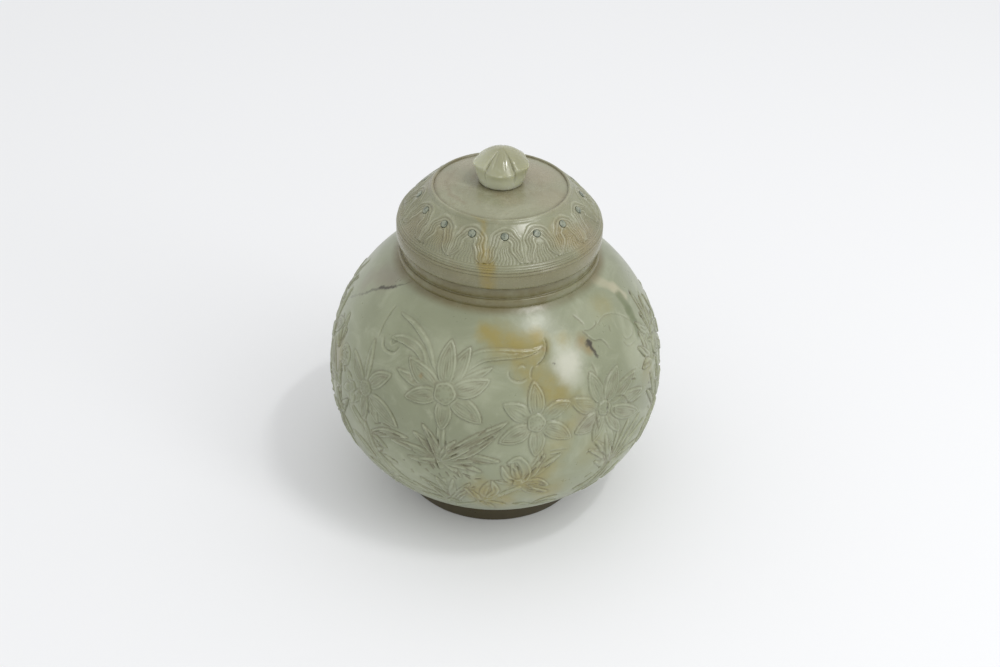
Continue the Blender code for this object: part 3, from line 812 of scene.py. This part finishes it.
colour = tinted_spots(colour, close, INK, (
    (23, 68, 0.75, 0.9), (48, 65, 0.6, 0.9), (-45.5, 46.5, 0.8, 0.9), (4, 64, 0.5, 0.9),
    (9, 47.5, 0.6, 0.9), (19, 54, 0.6, 0.9), (40.5, 52.5, 0.8, 0.9), (36.2, 49.2, 0.9, 0.9),
    (65.5, 49, 0.7, 0.9), (64.5, 42.5, 0.6, 0.9), (-12, 45, 0.5, 0.9), (-30, 36, 0.5, 0.9),
    (80.5, 71, 1.2, 0.9), (120, 58, 0.8, 0.9), (168, 48, 0.7, 0.9)), 0)
colour = lined(where, colour, JADE_PALE, BROWN, 0.72)
neck = height.between((NECK_BOTTOM - 1.2) * MM, (NECK_BOTTOM + 0.4) * MM)
foot = height.between((FOOT_HEIGHT + 1) * MM, (FOOT_HEIGHT - 0.2) * MM)
# The neck's brown is thinned at one spot on its right front.
neck_pale_spot = near_spot(wide, on_stone(48, 78.2), 15 * MM)
colour = (neck * (0.66 + 0.25 * patchy - 0.25 * neck_pale_spot)).tint(colour, NECK_BROWN)
# The foot ring is painted near black-brown: brown stone darkened by painted shade under the belly's
# overhang.
colour = (foot * 0.96).tint(colour, FOOT_BROWN_SHADE)
colour.feeds(shader, "Base Color")
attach(pot, "pot")
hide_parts("pot_body")


# Lid: a second piece of the same jade, turned with a side band, fine ridges, a sloping band of
# carved arches and a ringed top disc, and hollowed under a flange that drops into the mouth.
LID_BASE = 85.5
LID_RADIUS, LID_BAND = 29.5, 4.6
BEAD_RADIUS, BEAD_HEIGHT = 29.1, 6
RING_RADIUS, RING_HEIGHT, RING_STEP = 19.7, 15.6, 0.35
BAND_RUN, BAND_CLIMB = RING_RADIUS - BEAD_RADIUS, RING_HEIGHT - BEAD_HEIGHT
BAND_SLOPE = 13.44
DISC_FLAT, DISC_EDGE, DISC_RISE, DISC_CAMBER = 6.4, 18.8, 1.6, 1.6
LID_TOP = 17.2
SOCKET_RADIUS, SOCKET_DEPTH = 3.3, 2.9
FLANGE_RADIUS, FLANGE_INNER, FLANGE_DEPTH = 24.6, 21.6, 5
LID_CEILING = LID_TOP - SOCKET_DEPTH - 3.2
PETAL_COUNT = 16
PETAL_TURN = 3.9
BAND_SWELL = 0.5
EYE_UP = 9.2
ARCH_FOOT, ARCH_MIDDLE, ARCH_TOP = 1.7, 6.6, 12.1
POCKET_RADIUS, POCKET_DEPTH = 1.02, 0.9
LID_ROWS, LID_COLUMNS = 96, 1120
LID_TRIANGLES = 150000


def slope_point(share):
    """Radius and height on the petal band: share 0 at the bead, 1 at the ring."""
    swell = BAND_SWELL * 4 * share * (1 - share) / BAND_SLOPE
    return (BEAD_RADIUS + BAND_RUN * share + BAND_CLIMB * swell,
            BEAD_HEIGHT + BAND_CLIMB * share - BAND_RUN * swell)


outline = [(0, LID_TOP - SOCKET_DEPTH), (SOCKET_RADIUS, LID_TOP - SOCKET_DEPTH),
           (SOCKET_RADIUS, LID_TOP), (DISC_FLAT, LID_TOP)]
for step in range(1, 13):
    reach = step / 12
    outline.append((DISC_FLAT + (DISC_EDGE - DISC_FLAT) * reach,
                    LID_TOP - DISC_RISE * reach ** DISC_CAMBER))
outline += [(DISC_EDGE + 0.08, RING_HEIGHT + 0.24), (DISC_EDGE + 0.25, RING_HEIGHT + RING_STEP),
            (RING_RADIUS - 0.25, RING_HEIGHT + RING_STEP), (RING_RADIUS - 0.08, RING_HEIGHT + 0.22)]
outline += [slope_point(share) for share in np.linspace(1, 0, LID_ROWS)]
for inward, height in (
        (0.48, 5.85), (0.52, 5.7), (0.45, 5.55), (0.26, 5.4), (0.2, 5.25), (0.26, 5.1), (0.34, 4.98),
        (0.3, 4.85), (0.08, 4.7), (0, 4.5), (0, 4.15), (0.1, 4), (0, 3.85), (0, 0.5),
        (0.12, 0.15), (0.4, 0)):
    outline.append((LID_RADIUS - inward, height))
outline += [(FLANGE_RADIUS, 0), (FLANGE_RADIUS, 0.4 - FLANGE_DEPTH),
            (FLANGE_RADIUS - 0.4, -FLANGE_DEPTH), (FLANGE_INNER, -FLANGE_DEPTH)]
hollow_foot = BEAD_HEIGHT - 4.6
outline += quarter((0, hollow_foot), FLANGE_INNER, LID_CEILING - hollow_foot, 9,
                   INSIDE_SQUARENESS)[:9]
outline.append((0, LID_CEILING))
lid = turned("jade_lid", outline, LID_COLUMNS, LID_BASE)


def arches(aside, up, half):
    """Depth, dark (dirt, with painted shade at the arches' foot) and painted crest highlights of the
    petal band, from mm aside of an eye's line, mm up the slope and mm to the next petal. Each eye
    has a ribbed arch over it, whose legs spread and meet the next ones in a rounded point; the
    stone under the eye is cut back plain."""
    side = np.abs(aside) / half
    lift = np.clip((up - ARCH_FOOT) / (8 - ARCH_FOOT), 0, 1)
    inner = 1 - 0.8 * lift ** 0.38
    under = (side - inner) / np.maximum(1 - inner, 0.03)
    over = np.hypot(side, (up - ARCH_MIDDLE) / (ARCH_TOP - ARCH_MIDDLE))
    across = np.where(up > ARCH_MIDDLE, (over - 0.3) / 0.7, under)
    thick = np.maximum((1 - inner) * half, 0.4)
    thick = np.where(up > ARCH_MIDDLE, 0.7 * half, thick)
    inside = across * thick
    raised = eased(-0.2, 0.12, inside) * eased(0.15, -0.12, (across - 1) * thick)
    ribs = hollow((across - 0.24) * thick, 0.2) + hollow((across - 0.48) * thick, 0.2)
    ribs += hollow((across - 0.72) * thick, 0.2) + 0.6 * hollow((side - 1) * half, 0.16)
    ribs *= raised * eased(0.5, 1.6, thick)
    fan = np.arctan2(aside, np.maximum(EYE_UP + 1.2 - up, 0.1)) * 9
    fan = hollow((fan + 0.5) % 1 - 0.5, 0.2) * eased(0, 0.5, -inside) * eased(7.4, 6, up)
    ground = np.where(across > 1, 0.2, 0.28 + 0.16 * fan)
    depth = ground * (1 - raised) + raised * (0.02 + 0.2 * np.minimum(ribs, 1))
    ring = np.hypot(aside, up - EYE_UP)
    depth = depth * eased(1, 1.7, ring) + 0.1 * eased(1.9, 1.5, ring) * (1 - hollow(ring - 1.5, 0.2))
    held = eased(ARCH_FOOT - 0.5, ARCH_FOOT - 0.1, up) * eased(13.1, 12.5, up)
    ridges = hollow(up - 0.4, 0.16) + hollow(up - 1.1, 0.16)
    hand = 0.75 + 0.25 * np.sin(up * 2.9 + aside * 3.7)
    # Dark in the ribs and fan cuts is dirt; the line along the arch's foot is dirt with painted shade.
    dark = hand * np.minimum(0.75 * ribs + 0.6 * hollow(inside + 0.2, 0.2) + 0.6 * fan, 1)
    # Painted highlights on the arch crests and round each eye.
    light = raised * (hollow((across - 0.93) * thick, 0.25) + hollow(inside - 0.25, 0.2))
    light += 0.7 * raised * hollow((across - 0.6) * thick, 0.2) + 0.8 * hollow(ring - 1.6, 0.3)
    return depth * held + 0.14 * ridges, dark * held + 0.7 * ridges, np.clip(light * held, 0, 1)


def carve_lid(piece):
    """Cuts the arches into the petal band, and notes the dirt along the turned edges."""
    spots, out, turn = measured(piece)
    tall = spots[:, 2] - LID_BASE
    run, climb = BAND_RUN / BAND_SLOPE, BAND_CLIMB / BAND_SLOPE
    up = (out - BEAD_RADIUS) * run + (tall - BEAD_HEIGHT) * climb
    above = (out - BEAD_RADIUS) * climb - (tall - BEAD_HEIGHT) * run
    band = (up > 0.02) & (up < BAND_SLOPE - 0.02) & (above > -SKIN_DEPTH)
    pitch = 360 / PETAL_COUNT
    azimuth = np.degrees(turn)
    petal = np.round((azimuth - PETAL_TURN) / pitch)
    aside = np.radians(azimuth - PETAL_TURN - petal * pitch) * out
    half = radians(pitch / 2) * out
    lean = 0.45 * np.sin(petal * 2.4) * (up - EYE_UP) / 6 + 0.24 * np.sin(up * 1.5 + petal * 1.9)
    depth, dark, light = arches(aside + lean * eased(1, 0.8, np.abs(aside) / half), up, half)
    pocket = np.hypot(aside, up - EYE_UP)
    depth = np.maximum(depth, POCKET_DEPTH * eased(POCKET_RADIUS + 0.1, POCKET_RADIUS - 0.04, pocket))
    held = np.clip(up / BAND_SLOPE, 0, 1)
    push = np.where(band, BAND_SWELL * 4 * held * (1 - held) - depth - above, 0)
    spots[:, 0] += push * climb * np.sin(turn)
    spots[:, 1] -= push * climb * np.cos(turn)
    spots[:, 2] -= push * run
    move_to(piece, spots)
    edges = hollow(out - DISC_EDGE - 0.1, 0.2) * (tall > LID_BAND)
    edges += (hollow(tall - 4, 0.15) + hollow(tall - 4.95, 0.15)) * (out > LID_RADIUS - 0.5)
    note(piece, "dark", np.where(band, dark, np.minimum(edges, 1)))
    note(piece, "light", np.where(band, light, 0))


worked(lid, carve_lid, LID_TRIANGLES)

LID_PALE = (0.345, 0.35, 0.248)
LID_JADE = (0.25, 0.258, 0.162)
LID_DEEP = (0.182, 0.182, 0.106)
LID_BROWN = (0.262, 0.215, 0.138)
LID_AMBER = (0.24, 0.2, 0.085)
DISC_PALE = (0.4, 0.396, 0.28)
ARC_BROWN = (0.18, 0.15, 0.085)
SIDE_OLIVE = (0.172, 0.152, 0.066)
LID_RUST = (0.24, 0.19, 0.046)
FRECKLE = (0.205, 0.178, 0.1)
BUD_RING_BROWN = (0.17, 0.135, 0.07)
shader, where, colour = jade(lid, "lid_jade", LID_PALE, LID_JADE, LID_DEEP, LID_DULLNESS)
wide = bent(where, 90, 7 * MM)
close = bent(where, 420, 2 * MM)
ragged = bent(where, 260, 3.2 * MM)
colour = tinted_spots(colour, wide, LID_BROWN, (
    (115, 102.4, 11, 9, 0.7), (150, 102.2, 13, 7, 0.5), (60, 102, 15, 8, 0.45), (-95, 101.6, 16.5, 8, 0.5),
    (-140, 102.2, 14, 7, 0.5), (62, 92, 28.5, 8, 0.55), (-60, 93, 27.5, 9, 0.4), (170, 92, 28, 10, 0.5),
    (16, 102.5, 9.5, 5, 0.4)))
colour = tinted_spots(colour, wide, LID_AMBER, (
    (44, 96.5, 24.5, 6, 0.85), (54, 94, 27, 6, 0.7), (-38, 96, 25, 5, 0.5)))
colour = tinted_spots(colour, wide, LID_DEEP, ((25, 88, 29.5, 7, 0.35), (-48, 89.5, 29, 12, 0.8)))
arc = ((-118, 102, 14.6), (-90, 101.9, 15.4), (-62, 101.8, 15.6), (-40, 101.9, 15.2))
colour = veined(colour, close, ARC_BROWN, arc, (1.2, 1.2, 1.2), (0.75, 0.75, 0.75), 0)
tall = where.part("Z")
side_band = tall.between((LID_BASE + 6.7) * MM, (LID_BASE + 4.5) * MM)
colour = (side_band * 0.55).tint(colour, SIDE_OLIVE)
disc = tall.between((LID_BASE + RING_HEIGHT - 0.2) * MM, (LID_BASE + RING_HEIGHT + 0.3) * MM)
colour = (disc * 0.24).tint(colour, DISC_PALE)
vein = ((-24, 101.6, 19), (-12, 100.6, 20.4), (-10.5, 98, 22.8), (-8.5, 94.8, 26),
        (-6, 92, 28.8), (-5, 86, 29.5))
colour = veined(colour, ragged, LID_RUST, vein, (0.9, 1.3, 2.2, 3.6, 3), (0.4, 0.55, 0.7, 0.95, 0.9), 0)
freckle = noise(where, 210, 4, 0.7).between(0.52, 0.7)
colour = (freckle * 0.4).tint(colour, FRECKLE)
# A freckled brown ring on the disc round the bud's foot.
round_bud = near_spot(ragged, on_stone(0, LID_BASE + LID_TOP, 0), 9.4 * MM, 0.66)
colour = (round_bud * (freckle * 0.4 + 0.35)).tint(colour, BUD_RING_BROWN)
colour = lined(where, colour, LID_PALE, BROWN, 0.7)
colour.feeds(shader, "Base Color")
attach(lid, "lid")
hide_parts("lid")


# Finial: a closed lotus bud of paler, yellower jade, carved apart and cemented into the lid by
# its tenon. Five folded petals close over it, each with a small lip at its shoulder.
BUD_SEAT = 102.75
TENON_RADIUS, TENON_LENGTH = 3, 2.3
BUD_BASE, BUD_SWELL, BUD_SIDE, BUD_TIP = 6.1, 1.55, 5.3, 5.05
BUD_HIGH_SIDE = 6.3
BUD_PETALS = 5
BUD_TURN = radians(-3)
BUD_ROWS, BUD_COLUMNS = 110, 320


def bud_radius(height, shoulder=BUD_SIDE):
    """Radius of the plain bud at a height, for a petal whose shoulder is at a given height."""
    low = BUD_BASE + BUD_SWELL * np.sin(np.clip(height / shoulder, 0, 1) * pi / 2)
    share = np.clip((height - shoulder) / (BUD_SIDE + BUD_TIP - shoulder), 0, 1)
    high = (BUD_BASE + BUD_SWELL) * (1 - share ** 1.3) ** 0.66
    return np.where(height <= shoulder, low, high)


bud_height = BUD_SIDE + BUD_TIP
rows = bud_height * (1 - (1 - np.linspace(0.03, 1, BUD_ROWS)) ** 1.5)
outline = [(0, -TENON_LENGTH), (TENON_RADIUS, -TENON_LENGTH), (TENON_RADIUS, 0),
           (BUD_BASE - 0.1, 0)]
outline += [(bud_radius(height), height) for height in rows[:-1]]
outline.append((0, bud_height))
finial = turned("jade_finial", outline, BUD_COLUMNS, BUD_SEAT)
spots, out, turn = measured(finial)
tall = spots[:, 2] - BUD_SEAT
on_skin = (tall > 0.2) & (out > 0.4)
petal = ((turn - BUD_TURN) * BUD_PETALS / tau + 0.5) % 1 - 0.5
front = eased(0.52, 0.48, np.abs(turn - BUD_TURN) * BUD_PETALS / tau)
shoulder = BUD_HIGH_SIDE + (BUD_SIDE - BUD_HIGH_SIDE) * front
wide = bud_radius(tall, shoulder)
pitch = tau / BUD_PETALS * np.maximum(wide, 1.2)
reach = np.clip(tall / bud_height, 0, 1)
seam = hollow((0.5 - np.abs(petal)) * pitch, 0.3) * eased(0.12, 0.4, reach)
furrow = hollow((np.abs(petal + 0.03) - 0.2) * pitch, 0.22) * eased(0.58, 0.72, reach)
furrow *= 0.4 + 0.6 * front
swell = 0.55 * (2 * np.abs(petal)) ** 2.2 * eased(0, 0.35, reach) * (1 - eased(0.55, 1, reach))
shelf = 0.22 * eased(shoulder - 1, shoulder + 1.6, tall) * (1 - eased(0.7, 0.98, reach))
lip = (0.42 - 0.2 * front) * hollow(petal + 0.02, 0.2) * hollow(tall - shoulder + 0.1, 0.7)
inset = (0.2 * seam + 0.12 * furrow + swell + shelf - lip) * np.clip(wide / 2.5, 0, 1)
spots[:, :2] *= np.where(on_skin, (wide - inset) / np.maximum(out, 0.01), 1)[:, None]
move_to(finial, spots)
# Painted highlights beside the seams and front furrows, and broken along the shoulder.
crest = 0.5 * hollow((0.5 - np.abs(petal)) * pitch - 0.45, 0.22) * eased(0.3, 0.5, reach)
crest += front * hollow((np.abs(petal + 0.03) - 0.2) * pitch - 0.4, 0.25) * eased(0.6, 0.75, reach)
crest += hollow(tall - shoulder - 0.05, 0.2) * eased(-0.2, 0.8, np.sin(petal * 24 + 1))
note(finial, "dark", np.where(on_skin, np.minimum(0.6 * seam + 0.3 * furrow, 1), 0))
note(finial, "light", np.where(on_skin, np.minimum(crest, 1), 0))
smoothed(finial, 60)
BUD_PALE = (0.48, 0.492, 0.37)
BUD_JADE = (0.385, 0.398, 0.272)
BUD_DEEP = (0.275, 0.272, 0.165)
BUD_PAINTED_LIGHT = (0.56, 0.58, 0.44)
BUD_DIRT = (0.18, 0.165, 0.085)
BUD_FOOT_BROWN = (0.15, 0.12, 0.055)
shader, where, colour = jade(finial, "bud_jade", BUD_PALE, BUD_JADE, BUD_DEEP, BUD_DULLNESS)
ragged = bent(where, 500, 1.2 * MM).part("Z")
across = where.part("X")
colour = lined(where, colour, BUD_PALE, BUD_DIRT, 0.55)
# Painted light and shade: paler low down and on the left, darker on top and on the right; then a brown
# foot.
for value, start, end, strength, stone in (
        (ragged, BUD_SEAT + 5.85, BUD_SEAT + 1.85, 0.85, BUD_PAINTED_LIGHT),
        (ragged, BUD_SEAT + 6.25, BUD_SEAT + 8.75, 0.6, BUD_DEEP),
        (across, 0, -7, 0.45, BUD_PAINTED_LIGHT), (across, 0, 7, 0.45, BUD_DEEP),
        (ragged, BUD_SEAT + 0.85, BUD_SEAT + 0.15, 0.55, BUD_FOOT_BROWN)):
    colour = (value.between(start * MM, end * MM) * strength).tint(colour, stone)
dial(shader, {"Subsurface Weight": 0.7, "Subsurface Scale": 5 * MM})
colour.feeds(shader, "Base Color")
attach(finial, "lid")
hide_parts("finial")


# Eyes: sixteen small blue-grey stones, ground round, slightly domed and cemented into shallow
# pockets under the petals' arches.
EYE_DARK = (0.092, 0.112, 0.084)
EYE_PALE = (0.255, 0.275, 0.205)
eye_stone, shader = new_material("blue_eye_stone")
where = Wire(eye_stone.node_tree).node("TexCoord", output="Object")
fleck = noise(where, 1100, 3, 0.7)
fleck.between(0.36, 0.58).tint(EYE_DARK, EYE_PALE).feeds(shader, "Base Color")
dial(shader, {"Roughness": 0.3})
for number in range(1, PETAL_COUNT + 1):
    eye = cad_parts[f"petal_eye_{number:02d}"]
    eye.data.materials.clear()
    eye.data.materials.append(eye_stone)


# Studio: a pale sweep of paper under and behind the pot. A tall soft box and a narrow strip of
# window stand on the right, and even light comes from all round.
PAPER = (0.845, 0.852, 0.866)
PAPER_SIZE = 6
AIR_STRENGTH = 0.87
paper, shader = new_material("paper")
dial(shader, {"Base Color": (*PAPER, 1), "Roughness": 0.9, "Specular IOR Level": 0})
bpy.ops.object.select_all(action="DESELECT")
bpy.ops.mesh.primitive_plane_add(size=PAPER_SIZE, location=(0, 0, 0))
floor = bpy.context.object
floor.name = "paper_sweep"
floor.data.materials.append(paper)

world = bpy.data.worlds.new("studio_air")
bpy.context.scene.world = world
world.use_nodes = True
dial(world.node_tree.nodes["Background"], {"Color": (1, 1, 1, 1), "Strength": AIR_STRENGTH})

# Each lamp: its name, its place, its width and height in metres, and its power in watts.
LAMP_AIM = Vector((0, 0, 0.05))
LAMPS = (
    ("tall_soft_box", (0.535, -0.347, 0.64), 0.22, 0.85, 1.85),
    ("window_strip", (0.333, -0.185, 0.87), 0.16, 0.035, 0.95),
)
for name, place, width, tallness, power in LAMPS:
    lamp_data = bpy.data.lights.new(name, "AREA")
    lamp_data.shape = "RECTANGLE"
    lamp_data.size = width
    lamp_data.size_y = tallness
    lamp_data.energy = power
    lamp = bpy.data.objects.new(name, lamp_data)
    bpy.context.scene.collection.objects.link(lamp)
    lamp.location = place
    lamp.rotation_euler = (LAMP_AIM - Vector(place)).to_track_quat("-Z", "Y").to_euler()
